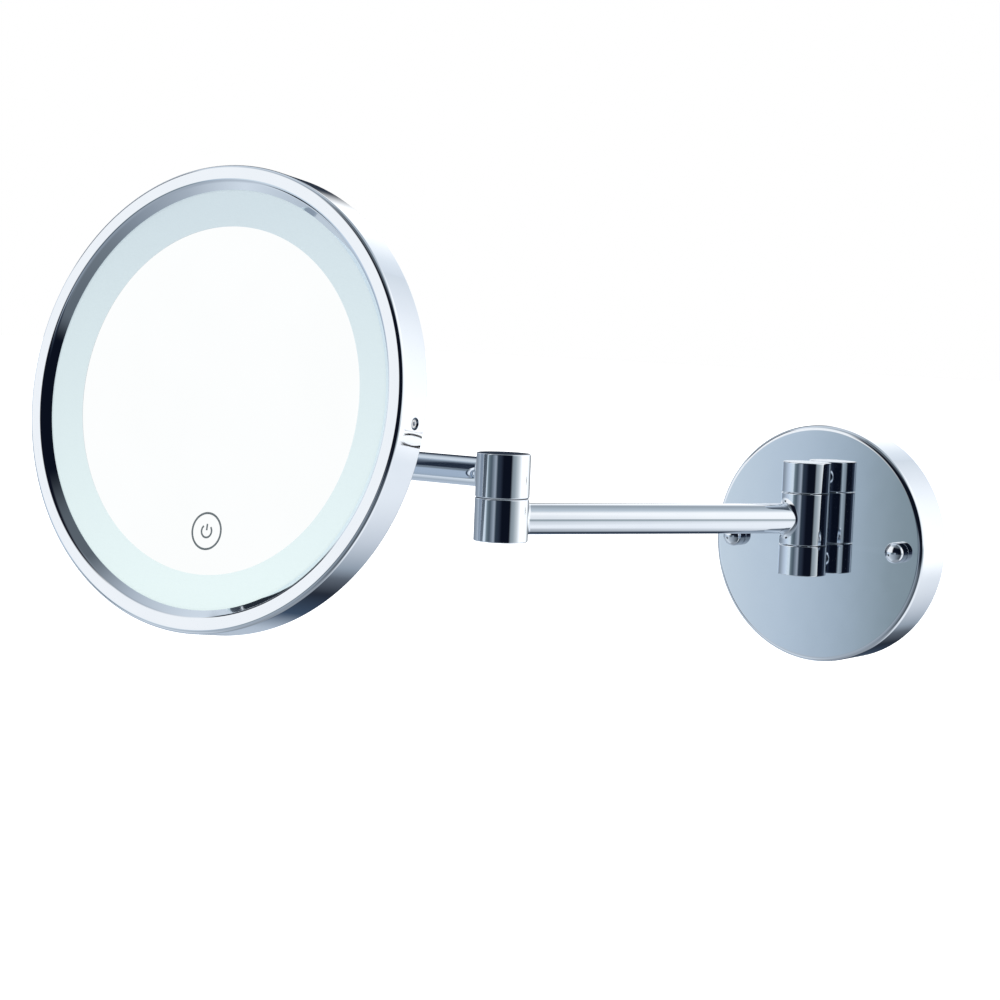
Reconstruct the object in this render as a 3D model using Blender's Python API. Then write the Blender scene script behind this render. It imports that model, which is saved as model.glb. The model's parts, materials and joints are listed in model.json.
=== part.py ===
"""Wall-hung shaving mirror: a lit round head on two swinging arms.

Sizes are in metres. +X is to the right, +Y goes into the wall and +Z is up.
The origin is the middle of the wall bracket's back face.
"""

import math

import bmesh
import bpy
from mathutils import Matrix, Vector

# Clearance between neighbouring pieces.
GAP = 0.0003

# Wall cup and what fixes it.
CUP_RADIUS = 0.060
CUP_DEPTH = 0.024
CUP_SKIN = 0.0015
CUP_EDGE = 0.0025
STUD_SPACING = 0.094
STUD_RADIUS = 0.0020
STUD_BASE = 0.0001
STUD_TIP = CUP_DEPTH + 0.0052
COLLAR_RADIUS = 0.0038
COLLAR_HEIGHT = 0.0026
NUT_RADIUS = 0.0052
NUT_HEIGHT = 0.0078
NUT_DOME = 0.0036
NUT_EDGE = 0.0004
BRACKET_LENGTH = 0.106
BRACKET_WIDTH = 0.024
BRACKET_THICKNESS = 0.0020
WALL_HOLE_SPACING = 0.056
WALL_HOLE_RADIUS = 0.0024

# What the ears are clamped to the cup with.
EAR_NECK_RADIUS = 0.0065
EAR_SCREW_RADIUS = 0.0016
EAR_SCREW_HEAD = (0.0034, 0.0022)
NIPPLE_RADIUS = 0.0050
NIPPLE_NUT_RADIUS = 0.0080
NIPPLE_NUT_HEIGHT = 0.0030

# Lamp driver and terminal block: lowest and highest corners.
DRIVER_BOX = ((-0.040, -0.0222, -0.016), (-0.010, -0.0080, 0.034))
TERMINAL_BOX = ((0.014, -0.0222, -0.034), (0.036, -0.0120, -0.021))
TERMINAL_WAYS = (0.0195, 0.0305)

# Barrels at the wall, the elbow and the wrist.
BARREL_RADIUS = 0.0120
ELBOW_RADIUS = 0.0128
BARREL_EDGE = 0.0006
BARREL_OUT = CUP_DEPTH + 0.0128
SEAM = 0.0004
BORE_RADIUS = 0.0063
SPIGOT_RADIUS = BORE_RADIUS - GAP
WIRE_WAY = 0.0030
WASHER_RADIUS = 0.0095
WASHER_THICKNESS = 0.0012
SOCKET_DEPTH = 0.0014
LOWER_SPIGOT = 0.0079
UPPER_SPIGOT = 0.0081
PIVOT_Z = (0.0175, 0.0315)
BARREL_FLOOR = 0.0040
BARREL_ROOF = 0.0024
GRUB_RADIUS = 0.0018
GRUB_Z = 0.0285
CAP_THICKNESS = 0.0020
CAP_PLUG = (0.0032, 0.0030)
LOWER_EAR_Z = (-0.0148, 0.0001)
WALL_KNUCKLE_Z = (0.0005, 0.0263)
UPPER_EAR_Z = (0.0267, 0.0418)
LOWER_ELBOW_Z = (0.0029, 0.0232)
UPPER_ELBOW_Z = (0.0236, 0.0443)
WRIST_POST_Z = (0.0242, 0.0685)

# Arms: heights, lengths between barrel centres, and the angles at rest.
ARM_ONE_TUBE_RADIUS = 0.0075
ARM_TWO_TUBE_RADIUS = 0.0070
TUBE_SKIN = 0.0012
TUBE_SETBACK = 0.0086
ARM_ONE_Z = 0.0134
ARM_TWO_Z = 0.0345
ARM_ONE_LENGTH = 0.168
ARM_TWO_LENGTH = 0.141
ARM_ONE_ANGLE = -116.5
ELBOW_ANGLE = -61.5

# Ball joint behind the head.
BALL_Z = 0.0590
BALL_REACH = 0.0264
BALL_RADIUS = 0.0080
BALL_NECK = 0.0032
BALL_BORE = 0.0019
SHANK_RADIUS = 0.0040
STUD_COLLAR_RADIUS = 0.0055
LINER_SKIN = 0.0016
LINER_FRONT = 58.0
BALL_BEHIND_FRONT = 0.0304
SOCKET_RADIUS = 0.0130
SOCKET_MOUTH = 62.0
SOCKET_SPLIT = 1.7
SOCKET_HOLE = 0.0050
SOCKET_FRONT = 0.0115
SOCKET_FLANGE = 0.0220
FLANGE_HEIGHT = 0.0079
FLANGE_THICKNESS = 0.0022
SOCKET_SCREW_CIRCLE = 0.0180
SOCKET_SCREW_RADIUS = 0.0014
SOCKET_SCREW_HEAD = 0.0030
HEAD_TURN = 184.4
HEAD_TILT = 7.3

# Head: radii, and depths behind the front face of its ring.
HEAD_RADIUS = 0.1144
HEAD_DEPTH = 0.0214
HEAD_SKIN = 0.0016
LIP_RADIUS = 0.1068
LIP_DEPTH = 0.0040
LIP_ROUND = 0.0030
FACE_EDGE = 0.0014
THROAT_RADIUS = 0.1024
GLASS_RADIUS = 0.1090
GLASS_RIM_FRONT = 0.0043
GLASS_DISH_RADII = (0.0850, 0.1015)
GLASS_DISH_FRONT = 0.0073
GLASS_CENTRE_FRONT = 0.0090
GLASS_BACK = 0.0110
GLASS_EDGE = 0.0004
SEAL_THICKNESS = 0.0016
DIFFUSER_THICKNESS = 0.0020
LIGHT_BAND = (0.0850, 0.1080)
LED_BAND = (0.0880, 0.1040)
LED_BOARD_DEPTH = 0.0148
LED_BOARD_THICKNESS = 0.0012
LED_FACETS = 60
LED_RISE = 0.0007
PLATE_DEPTH = (0.0163, 0.0175)
TOUCH_RADIUS = 0.0641
TOUCH_BOARD_SPAN = (-0.010, 0.018)
TOUCH_BOARD_HALF = 0.0090
TOUCH_BOARD_THICKNESS = 0.0016
SIDE_SCREW_DEPTH = 0.0128
SIDE_SCREW_RADIUS = 0.0021
SIDE_SCREW_START = -2.2
COVER_RADIUS = 0.1125
COVER_EDGE = 0.0030
COVER_FRONT_DEPTH = 0.0105
COVER_CENTRE_DEPTH = 0.0244
COVER_SHOULDER = (0.0800, COVER_CENTRE_DEPTH - 0.0008)
COVER_FLAT_RADIUS = 0.0450

# Wires held inside the arms and the head.
WIRE_RADIUS = 0.0013
WIRE_BEND = 0.0035
WIRE_HOLE_RADIUS = 0.0024
HEAD_WIRE_START = 0.0104
HEAD_WIRE_DEPTH = 0.0140

# Facets round a full turn.
FINE = 48
MEDIUM = 28
COARSE = 20
SMALL = 12

# Colour, roughness and metallic value of each finish.
CHROME = ((0.86, 0.88, 0.91), 0.05, 1.0)
STEEL = ((0.62, 0.63, 0.65), 0.35, 1.0)
ZINC = ((0.70, 0.71, 0.70), 0.40, 1.0)
BRASS = ((0.80, 0.62, 0.30), 0.30, 1.0)
NYLON = ((0.88, 0.87, 0.82), 0.50, 0.0)
MIRROR = ((0.92, 0.95, 0.96), 0.02, 1.0)
OPAL = ((0.93, 0.96, 0.97), 0.45, 0.0)
BOARD = ((0.90, 0.91, 0.90), 0.50, 0.0)
GREEN_BOARD = ((0.10, 0.30, 0.18), 0.45, 0.0)
PLASTIC_WHITE = ((0.85, 0.85, 0.84), 0.45, 0.0)
RUBBER = ((0.06, 0.06, 0.06), 0.80, 0.0)
WIRE_SHEATH = ((0.10, 0.10, 0.11), 0.55, 0.0)


def clear_scene():
    for obj in list(bpy.data.objects):
        bpy.data.objects.remove(obj, do_unlink=True)


def place(name, data, parent, location=(0, 0, 0), rotation=(0, 0, 0)):
    """Puts a new object in the scene; its rotation is in degrees."""
    obj = bpy.data.objects.new(name, data)
    obj.parent = parent
    obj.location = location
    obj.rotation_euler = [math.radians(angle) for angle in rotation]
    bpy.context.scene.collection.objects.link(obj)
    return obj


def paint(obj, finish):
    colour, roughness, metallic = finish
    material = bpy.data.materials.new(obj.name + "_finish")
    material.use_nodes = True
    shader = material.node_tree.nodes["Principled BSDF"]
    shader.inputs["Base Color"].default_value = (*colour, 1.0)
    shader.inputs["Roughness"].default_value = roughness
    shader.inputs["Metallic"].default_value = metallic
    obj.data.materials.append(material)


def mesh_from(name, bm):
    """Turns the bmesh into a mesh whose round faces are smooth and whose corners stay sharp."""
    bmesh.ops.recalc_face_normals(bm, faces=bm.faces)
    mesh = bpy.data.meshes.new(name)
    bm.to_mesh(mesh)
    bm.free()
    mesh.shade_smooth()
    mesh.set_sharp_from_angle(angle=math.radians(32))
    return mesh


def arc(centre, radius, start, end, steps):
    """Points of a section's arc; angles in degrees, from the outward direction towards +Z."""
    angles = [math.radians(start + (end - start) * step / steps) for step in range(steps + 1)]
    return [(centre[0] + radius * math.cos(a), centre[1] + radius * math.sin(a)) for a in angles]


def turned_mesh(name, section, segments):
    """Spins a section of (radius, height) points round Z. One that starts on the axis ends on it."""
    bm = bmesh.new()
    points = [bm.verts.new((radius, 0, height)) for radius, height in section]
    starts = points if section[0][0] > 0 else points[:-1]
    edges = [bm.edges.new((point, points[(i + 1) % len(points)])) for i, point in enumerate(starts)]
    bmesh.ops.spin(bm, geom=points + edges, cent=(0, 0, 0), axis=(0, 0, 1), angle=math.tau,
                   steps=segments, use_merge=True)
    bmesh.ops.remove_doubles(bm, verts=bm.verts, dist=1e-6)
    return mesh_from(name, bm)


def turned(name, section, finish, parent, segments=MEDIUM, location=(0, 0, 0), rotation=(0, 0, 0)):
    obj = place(name, turned_mesh(name, section, segments), parent, location, rotation)
    paint(obj, finish)
    return obj


def ring(inner, outer, low, high):
    """Section of a flat ring."""
    return [(inner, low), (outer, low), (outer, high), (inner, high)]


def behind(section):
    """Turns depths behind the head's front face into heights above the ball's centre."""
    return [(radius, BALL_BEHIND_FRONT - depth) for radius, depth in section]


def head_ring_section(inner, outer, front, back):
    return behind(ring(inner, outer, front, back))


def block(name, low, high, rounding, finish, parent):
    """Box between two corners, with its edges rounded."""
    bm = bmesh.new()
    size = Vector(high) - Vector(low)
    middle = (Vector(high) + Vector(low)) / 2
    bmesh.ops.create_cube(bm, size=1.0, matrix=Matrix.Diagonal((*size, 1.0)))
    obj = place(name, mesh_from(name, bm), parent, middle)
    edges = obj.modifiers.new("rounded_edges", "BEVEL")
    edges.width = rounding
    edges.segments = 2
    paint(obj, finish)
    return obj


def hide(tool):
    tool.hide_render = True
    tool.display_type = "WIRE"


def rod_between(name, parent, start, end, radius, segments):
    """Plain round rod from one point to another, in the parent's frame."""
    run = Vector(end) - Vector(start)
    section = [(0, 0), (radius, 0), (radius, run.length), (0, run.length)]
    rod = place(name, turned_mesh(name, section, segments), parent, start)
    rod.rotation_euler = run.to_track_quat("Z", "Y").to_euler()
    return rod


def combine(target, tool, operation):
    hide(tool)
    modifier = target.modifiers.new(tool.name, "BOOLEAN")
    modifier.operation = operation
    modifier.object = tool


def drill(target, label, start, end, radius, segments=COARSE):
    """Drills a round hole, given in the frame of the target's parent."""
    tool = rod_between(f"{target.name}_{label}", target.parent, start, end, radius, segments)
    combine(target, tool, "DIFFERENCE")


def weld(target, label, start, end, radius, segments=COARSE):
    """Adds a round boss, given in the frame of the target's parent."""
    tool = rod_between(f"{target.name}_{label}", target.parent, start, end, radius, segments)
    combine(target, tool, "UNION")


def route(corners, bend, steps=4):
    """Points along straight runs whose square corners are rounded to the bend radius."""
    points = [Vector(corners[0])]
    for before, corner, after in zip(corners, corners[1:], corners[2:]):
        corner = Vector(corner)
        back = (Vector(before) - corner).normalized() * bend
        ahead = (Vector(after) - corner).normalized() * bend
        centre = corner + back + ahead
        for step in range(steps + 1):
            turn = math.pi / 2 * step / steps
            points.append(centre - ahead * math.cos(turn) - back * math.sin(turn))
    points.append(Vector(corners[-1]))
    return points


def wire(name, corners, parent):
    """Round wire along a route of square corners."""
    points = route(corners, WIRE_BEND)
    curve = bpy.data.curves.new(name, "CURVE")
    curve.dimensions = "3D"
    curve.bevel_depth = WIRE_RADIUS
    curve.bevel_resolution = 2
    curve.use_fill_caps = True
    spline = curve.splines.new("POLY")
    spline.points.add(len(points) - 1)
    for spot, point in zip(spline.points, points):
        spot.co = (*point, 1.0)
    paint(place(name, curve, parent), WIRE_SHEATH)


def frame_at(name, parent, location, rotation=(0, 0, 0)):
    """Empty on a joint's axis, which carries the pieces that turn about it."""
    return place(name, None, parent, location, rotation)


def barrel_outline(low, high, r=BARREL_RADIUS):
    """Outer side of a barrel from its lower face to its upper face, with softened edges."""
    e = BARREL_EDGE
    return [(r - e, low), (r, low + e), (r, high - e), (r - e, high)]


# Wall side.


def build_bracket():
    """Steel strap that is screwed to the wall."""
    half = BRACKET_WIDTH / 2
    reach = BRACKET_LENGTH / 2 - half
    corners = arc((reach, 0), half, -90, 90, 12) + arc((-reach, 0), half, 90, 270, 12)
    bm = bmesh.new()
    outline = bm.faces.new([bm.verts.new((x, 0, z)) for x, z in corners])
    front = bmesh.ops.extrude_face_region(bm, geom=[outline])["geom"]
    moved = [item for item in front if isinstance(item, bmesh.types.BMVert)]
    bmesh.ops.translate(bm, verts=moved, vec=(0, -BRACKET_THICKNESS, 0))
    strap = place("wall_bracket", mesh_from("wall_bracket", bm), None)
    paint(strap, ZINC)
    holes = ((STUD_SPACING / 2, STUD_RADIUS + GAP), (WALL_HOLE_SPACING / 2, WALL_HOLE_RADIUS))
    for x, radius in holes:
        for side in (-1, 1):
            name = f"hole_{round(x * 1000)}_{'left' if side < 0 else 'right'}"
            drill(strap, name, (side * x, -0.01, 0), (side * x, 0.01, 0), radius, SMALL)


def build_cup():
    """Round wall cup, open at the back."""
    r, d, t, e = CUP_RADIUS, CUP_DEPTH, CUP_SKIN, CUP_EDGE
    outer = arc((r - e, d - e), e, 90, 0, 5) + [(r, 0)]
    inner = [(r - t, 0)] + arc((r - e, d - e), e - t, 0, 90, 3)
    section = [(0, d)] + outer + inner + [(0, d - t)]
    cup = turned("canopy", section, CHROME, None, FINE, rotation=(90, 0, 0))
    half = STUD_SPACING / 2
    low, high = ear_heights()
    holes = (("stud_hole_left", -half, 0, STUD_RADIUS), ("stud_hole_right", half, 0, STUD_RADIUS),
             ("screw_hole", 0, low, EAR_SCREW_RADIUS), ("nipple_hole", 0, high, NIPPLE_RADIUS))
    for label, x, z, radius in holes:
        drill(cup, label, (x, -d - t, z), (x, -d / 2, z), radius + GAP, SMALL)


def build_studs():
    """Studs that stand on the bracket, each with a collar that the cup's face rests against."""
    r, seat = STUD_RADIUS, BRACKET_THICKNESS + GAP
    section = [(0, STUD_BASE), (r, STUD_BASE), (r, seat), (COLLAR_RADIUS, seat),
               (COLLAR_RADIUS, seat + COLLAR_HEIGHT), (r, seat + COLLAR_HEIGHT),
               (r, STUD_TIP), (0, STUD_TIP)]
    for side, label in ((-1, "left"), (1, "right")):
        spot = (side * STUD_SPACING / 2, 0, 0)
        turned(f"canopy_stud_{label}", section, STEEL, None, SMALL, spot, (90, 0, 0))


def build_cap_nuts():
    """Domed nuts that clamp the cup to the studs; each is bored from below."""
    base, top = CUP_DEPTH + GAP, CUP_DEPTH + NUT_HEIGHT
    bore, roof = STUD_RADIUS + GAP, STUD_TIP + GAP
    dome = [(NUT_RADIUS * math.cos(a), top - NUT_DOME * (1 - math.sin(a)))
            for a in (math.radians(15 * step) for step in range(6))]
    section = [(0, roof), (bore, roof), (bore, base), (NUT_RADIUS - NUT_EDGE, base),
               (NUT_RADIUS, base + NUT_EDGE)] + dome + [(0, top)]
    for side, label in ((-1, "left"), (1, "right")):
        spot = (side * STUD_SPACING / 2, 0, 0)
        turned(f"cap_nut_{label}", section, CHROME, None, COARSE, spot, (90, 0, 0))


def ear_heights():
    return sum(LOWER_EAR_Z) / 2, sum(UPPER_EAR_Z) / 2


def build_ears(hinge):
    """Fixed top and bottom barrels of the wall hinge, with the necks that hold them to the cup."""
    low, high = LOWER_EAR_Z
    spigot = high + LOWER_SPIGOT
    middle, upper_middle = ear_heights()
    face = BARREL_OUT - CUP_DEPTH - GAP
    inside = face + CUP_SKIN + NIPPLE_NUT_HEIGHT + 2 * GAP
    lower = turned("lower_ear", [(0, low)] + barrel_outline(low, high)
                   + [(SPIGOT_RADIUS, high), (SPIGOT_RADIUS, spigot), (0, spigot)], CHROME, hinge)
    weld(lower, "neck", (0, 0.004, middle), (0, face, middle), EAR_NECK_RADIUS)
    drill(lower, "screw_hole", (0, 0.003, middle), (0, 0.03, middle), EAR_SCREW_RADIUS + GAP, SMALL)
    low, high = UPPER_EAR_Z
    spigot = low - UPPER_SPIGOT
    upper = turned("upper_ear", [(0, spigot), (SPIGOT_RADIUS, spigot), (SPIGOT_RADIUS, low)]
                   + barrel_outline(low, high) + [(0, high)], CHROME, hinge)
    weld(upper, "neck", (0, 0.004, upper_middle), (0, face, upper_middle), EAR_NECK_RADIUS)
    weld(upper, "nipple", (0, 0.006, upper_middle), (0, inside + 0.0015, upper_middle), NIPPLE_RADIUS)
    drill(upper, "wire_drop", (0, 0, low - 0.02), (0, 0, upper_middle + 0.0010), WIRE_WAY, SMALL)
    drill(upper, "wire_hole", (0, -0.0010, upper_middle), (0, 0.03, upper_middle), WIRE_HOLE_RADIUS,
          SMALL)


def build_ear_fixings(hinge):
    """Screw and hollow-nipple nut that clamp the ears from inside the cup."""
    low, high = ear_heights()
    inside = BARREL_OUT - CUP_DEPTH + CUP_SKIN + GAP
    head, head_height = EAR_SCREW_HEAD
    tip = 0.0050
    screw = [(0, tip), (EAR_SCREW_RADIUS, tip), (EAR_SCREW_RADIUS, inside), (head, inside),
             (head, inside + head_height), (0, inside + head_height)]
    turned("ear_screw", screw, STEEL, hinge, SMALL, (0, 0, low), (-90, 0, 0))
    top = inside + NIPPLE_NUT_HEIGHT
    hexagon = [(0, inside), (NIPPLE_NUT_RADIUS, inside), (NIPPLE_NUT_RADIUS, top), (0, top)]
    nut = turned("nipple_nut", hexagon, BRASS, hinge, 6, (0, 0, high), (-90, 0, 0))
    drill(nut, "thread", (0, 0, high), (0, 2 * top, high), NIPPLE_RADIUS + GAP)


def build_wall_washers(hinge):
    floor = WALL_KNUCKLE_Z[0] + SOCKET_DEPTH - GAP
    ceiling = WALL_KNUCKLE_Z[1] - SOCKET_DEPTH + GAP
    lower = ring(BORE_RADIUS, WASHER_RADIUS, floor - WASHER_THICKNESS, floor)
    upper = ring(BORE_RADIUS, WASHER_RADIUS, ceiling, ceiling + WASHER_THICKNESS)
    turned("wall_washer_lower", lower, NYLON, hinge, COARSE)
    turned("wall_washer_upper", upper, NYLON, hinge, COARSE)


def build_wiring():
    """Lamp driver and terminal block in the cup, and the wire that enters the top ear."""
    block("led_driver", *DRIVER_BOX, 0.0012, PLASTIC_WHITE, None)
    terminal = block("terminal_block", *TERMINAL_BOX, 0.0008, NYLON, None)
    depth = (TERMINAL_BOX[0][1] + TERMINAL_BOX[1][1]) / 2
    for number, x in enumerate(TERMINAL_WAYS, 1):
        drill(terminal, f"way_{number}", (x, depth, -0.04), (x, depth, 0), 0.0016, SMALL)
    height = ear_heights()[1]
    start, depth, drop = DRIVER_BOX[1][0] + 0.0005, -0.0100, 2 * WIRE_BEND + 0.0010
    wire("canopy_wire", [(start, depth, height - drop), (0, depth, height - drop),
                         (0, depth, height), (0, -BARREL_OUT, height),
                         (0, -BARREL_OUT, ARM_ONE_Z + WIRE_BEND + 0.0004)], None)


# Arms.


def arm_tube(name, radius, height, length, parent):
    run = length - 2 * TUBE_SETBACK
    section = ring(radius - TUBE_SKIN, radius, 0, run)
    turned(name, section, CHROME, parent, COARSE, (TUBE_SETBACK, 0, height), (0, 90, 0))


def tube_hole(barrel, radius, centre, direction, height, depth=0.005):
    """Side hole that an arm's tube fits in."""
    start = (centre + direction * depth, 0, height)
    end = (centre + direction * 0.015, 0, height)
    drill(barrel, "tube_hole", start, end, radius + GAP)


def build_arm_one(shoulder):
    """Wall knuckle, first tube and lower elbow barrel, with the hollow elbow pivot."""
    low, high = WALL_KNUCKLE_Z
    seat = WASHER_RADIUS + GAP
    knuckle = turned("wall_knuckle", [(BORE_RADIUS, low + SOCKET_DEPTH), (seat, low + SOCKET_DEPTH),
                     (seat, low)] + barrel_outline(low, high) + [(seat, high),
                     (seat, high - SOCKET_DEPTH), (BORE_RADIUS, high - SOCKET_DEPTH)],
                     CHROME, shoulder)
    tube_hole(knuckle, ARM_ONE_TUBE_RADIUS, 0, 1, ARM_ONE_Z)
    arm_tube("arm_one_tube", ARM_ONE_TUBE_RADIUS, ARM_ONE_Z, ARM_ONE_LENGTH, shoulder)
    low, high = LOWER_ELBOW_Z
    side = barrel_outline(low, high, ELBOW_RADIUS)
    elbow = turned("elbow_lower_barrel", [(0, low)] + side + [(seat, high),
                   (seat, high - SOCKET_DEPTH), (BORE_RADIUS, high - SOCKET_DEPTH),
                   (BORE_RADIUS, low + BARREL_FLOOR), (0, low + BARREL_FLOOR)], CHROME, shoulder,
                   location=(ARM_ONE_LENGTH, 0, 0))
    tube_hole(elbow, ARM_ONE_TUBE_RADIUS, ARM_ONE_LENGTH, -1, ARM_ONE_Z)
    floor = high - SOCKET_DEPTH + GAP
    turned("elbow_washer", ring(BORE_RADIUS, WASHER_RADIUS, floor, floor + WASHER_THICKNESS),
           NYLON, shoulder, COARSE, (ARM_ONE_LENGTH, 0, 0))
    turned("elbow_pivot", ring(WIRE_WAY, SPIGOT_RADIUS, *PIVOT_Z), BRASS, shoulder,
           COARSE, (ARM_ONE_LENGTH, 0, 0))
    rise = ARM_TWO_Z - WIRE_BEND - 0.0006
    wire("arm_one_wire", [(0, 0, ARM_ONE_Z + WIRE_BEND), (0, 0, ARM_ONE_Z),
                          (ARM_ONE_LENGTH, 0, ARM_ONE_Z), (ARM_ONE_LENGTH, 0, rise)], shoulder)


def build_arm_two(elbow):
    """Upper elbow barrel, second tube and the wrist post that carries the ball stud."""
    low, high = UPPER_ELBOW_Z
    roof = high - BARREL_ROOF
    barrel = turned("elbow_upper_barrel", [(0, roof), (BORE_RADIUS, roof), (BORE_RADIUS, low)]
                    + barrel_outline(low, high, ELBOW_RADIUS) + [(0, high)], CHROME, elbow)
    tube_hole(barrel, ARM_TWO_TUBE_RADIUS, 0, 1, ARM_TWO_Z)
    tip, mouth = (0, -SPIGOT_RADIUS - 0.0005, GRUB_Z), (0, 0.0006 - ELBOW_RADIUS, GRUB_Z)
    inside, outside = (0, -SPIGOT_RADIUS, GRUB_Z), (0, -ELBOW_RADIUS - 0.0020, GRUB_Z)
    drill(barrel, "grub_hole", outside, inside, GRUB_RADIUS + GAP, SMALL)
    screw = rod_between("elbow_grub_screw", elbow, mouth, tip, GRUB_RADIUS, SMALL)
    paint(screw, STEEL)
    arm_tube("arm_two_tube", ARM_TWO_TUBE_RADIUS, ARM_TWO_Z, ARM_TWO_LENGTH, elbow)
    low, high = WRIST_POST_Z
    post = turned("wrist_post", [(0, low)] + barrel_outline(low, high) + [(0, high)], CHROME, elbow,
                  location=(ARM_TWO_LENGTH, 0, 0))
    drill(post, "wire_drop", (ARM_TWO_LENGTH, 0, low + 0.004), (ARM_TWO_LENGTH, 0, high + 0.01),
          0.0035, SMALL)
    tube_hole(post, ARM_TWO_TUBE_RADIUS, ARM_TWO_LENGTH, -1, ARM_TWO_Z, 0.001)
    drill(post, "stud_hole", (ARM_TWO_LENGTH, 0.001, BALL_Z), (ARM_TWO_LENGTH, 0.02, BALL_Z),
          SHANK_RADIUS + GAP)
    plug, plug_depth = CAP_PLUG
    cap_low, cap_high = high + SEAM, high + SEAM + CAP_THICKNESS
    cap = [(0, high - plug_depth), (plug, high - plug_depth), (plug, cap_low)]
    cap += barrel_outline(cap_low, cap_high) + [(0, cap_high)]
    turned("wrist_cap", cap, CHROME, elbow, location=(ARM_TWO_LENGTH, 0, 0))
    wire("arm_two_wire", [(0, 0, ARM_TWO_Z - WIRE_BEND), (0, 0, ARM_TWO_Z),
                          (ARM_TWO_LENGTH, 0, ARM_TWO_Z), (ARM_TWO_LENGTH, 0, BALL_Z),
                          (ARM_TWO_LENGTH, BALL_REACH + 0.0070, BALL_Z)], elbow)


def build_ball_stud(elbow):
    """Hollow stud with a ball on its end, pressed into the wrist post."""
    neck = math.degrees(math.asin(BALL_NECK / BALL_RADIUS))
    nose = math.degrees(math.asin(BALL_BORE / BALL_RADIUS))
    shank, collar = SHANK_RADIUS, STUD_COLLAR_RADIUS
    root, seat = 0.0043, BARREL_RADIUS + GAP
    section = [(BALL_BORE, root), (shank, root), (shank, seat), (collar, seat),
               (collar, seat + 0.0014), (BALL_NECK, seat + 0.0028)]
    section += arc((0, BALL_REACH), BALL_RADIUS, neck - 90, 90 - nose, 8)
    turned("ball_stud", section, STEEL, elbow, COARSE, (ARM_TWO_LENGTH, 0, BALL_Z), (-90, 0, 0))


# Ball socket and head. Heights here run along the head's axis, forwards from the ball's centre.


def build_ball_liner(swivel):
    """Nylon shell between the ball and its socket."""
    inner = BALL_RADIUS + GAP
    outer = inner + LINER_SKIN
    rear, front = SOCKET_MOUTH - 90, LINER_FRONT
    section = arc((0, 0), outer, rear, front, 6) + arc((0, 0), inner, front, rear, 6)
    turned("ball_liner", section, NYLON, swivel, COARSE)


def build_socket(head):
    """Two-part socket: the flanged front half, the rear retaining ring and three screws."""
    inner = BALL_RADIUS + LINER_SKIN + 2 * GAP
    rise = math.degrees(math.acos(SOCKET_HOLE / inner))
    plate = ring(SOCKET_RADIUS, SOCKET_FLANGE, FLANGE_HEIGHT, FLANGE_HEIGHT + FLANGE_THICKNESS)
    section = arc((0, 0), inner, rise, 0, 4) + [(SOCKET_RADIUS, 0)] + plate
    section += [(SOCKET_RADIUS, SOCKET_FRONT), (SOCKET_HOLE, SOCKET_FRONT)]
    socket = turned("ball_socket", section, CHROME, head, MEDIUM)
    mouth, edge = SOCKET_MOUTH - 90, 0.0016
    lip = inner * math.sin(math.radians(mouth))
    section = arc((0, 0), inner, -SOCKET_SPLIT, mouth, 3) + [(SOCKET_RADIUS - edge, lip),
              (SOCKET_RADIUS, lip + edge), (SOCKET_RADIUS, -GAP)]
    turned("socket_ring", section, CHROME, head, MEDIUM)
    for number, (x, y) in enumerate(socket_screw_spots(), 1):
        drill(socket, f"screw_hole_{number}", (x, y, FLANGE_HEIGHT / 2), (x, y, 0.015),
              SOCKET_SCREW_RADIUS + 0.0004, SMALL)


def socket_screw_spots():
    angles = [math.radians(30 + 120 * turn) for turn in range(3)]
    return [(SOCKET_SCREW_CIRCLE * math.cos(a), SOCKET_SCREW_CIRCLE * math.sin(a)) for a in angles]


def build_socket_screws(head):
    """Screws that hold the socket's flange to the rear cover from behind."""
    cover = BALL_BEHIND_FRONT - COVER_CENTRE_DEPTH
    under, tip = cover - GAP, FLANGE_HEIGHT + FLANGE_THICKNESS + 0.0004
    top, edge = cover - 0.0021, 0.0008
    section = [(0, top), (SOCKET_SCREW_HEAD - edge, top), (SOCKET_SCREW_HEAD, top + edge),
               (SOCKET_SCREW_HEAD, under), (SOCKET_SCREW_RADIUS, under),
               (SOCKET_SCREW_RADIUS, tip), (0, tip)]
    for number, (x, y) in enumerate(socket_screw_spots(), 1):
        turned(f"socket_screw_{number}", section, STEEL, head, SMALL, (x, y, 0))


def build_rear_cover(head):
    """Shallow dished cover that closes the back of the head."""
    r, t, e = COVER_RADIUS, HEAD_SKIN, COVER_EDGE
    turn_in = (r - e, e - HEAD_DEPTH)
    outer = [(radius, -height) for radius, height in arc(turn_in, e, 0, -72, 3)]
    inner = [(radius, -height) for radius, height in arc(turn_in, e - t, -72, 0, 2)]
    collar = SOCKET_RADIUS + GAP
    dome = [COVER_SHOULDER, (COVER_FLAT_RADIUS, COVER_CENTRE_DEPTH), (collar, COVER_CENTRE_DEPTH)]
    lining = [(radius, depth - t) for radius, depth in reversed(dome)]
    rim = [(r, COVER_FRONT_DEPTH)], [(r - t, COVER_FRONT_DEPTH)]
    section = rim[0] + outer + dome + lining + inner + rim[1]
    cover = turned("rear_cover", behind(section), CHROME, head, FINE)
    top = BALL_BEHIND_FRONT - COVER_CENTRE_DEPTH
    for number, (x, y) in enumerate(socket_screw_spots(), 1):
        drill(cover, f"screw_hole_{number}", (x, y, top - 0.005), (x, y, top + 0.005),
              SOCKET_SCREW_RADIUS + 0.0004, SMALL)
    for number, (x, y, z) in enumerate(side_spots(), 1):
        drill(cover, f"side_hole_{number}", (x * 0.95, y * 0.95, z), (x, y, z),
              SIDE_SCREW_RADIUS + GAP, SMALL)


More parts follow.
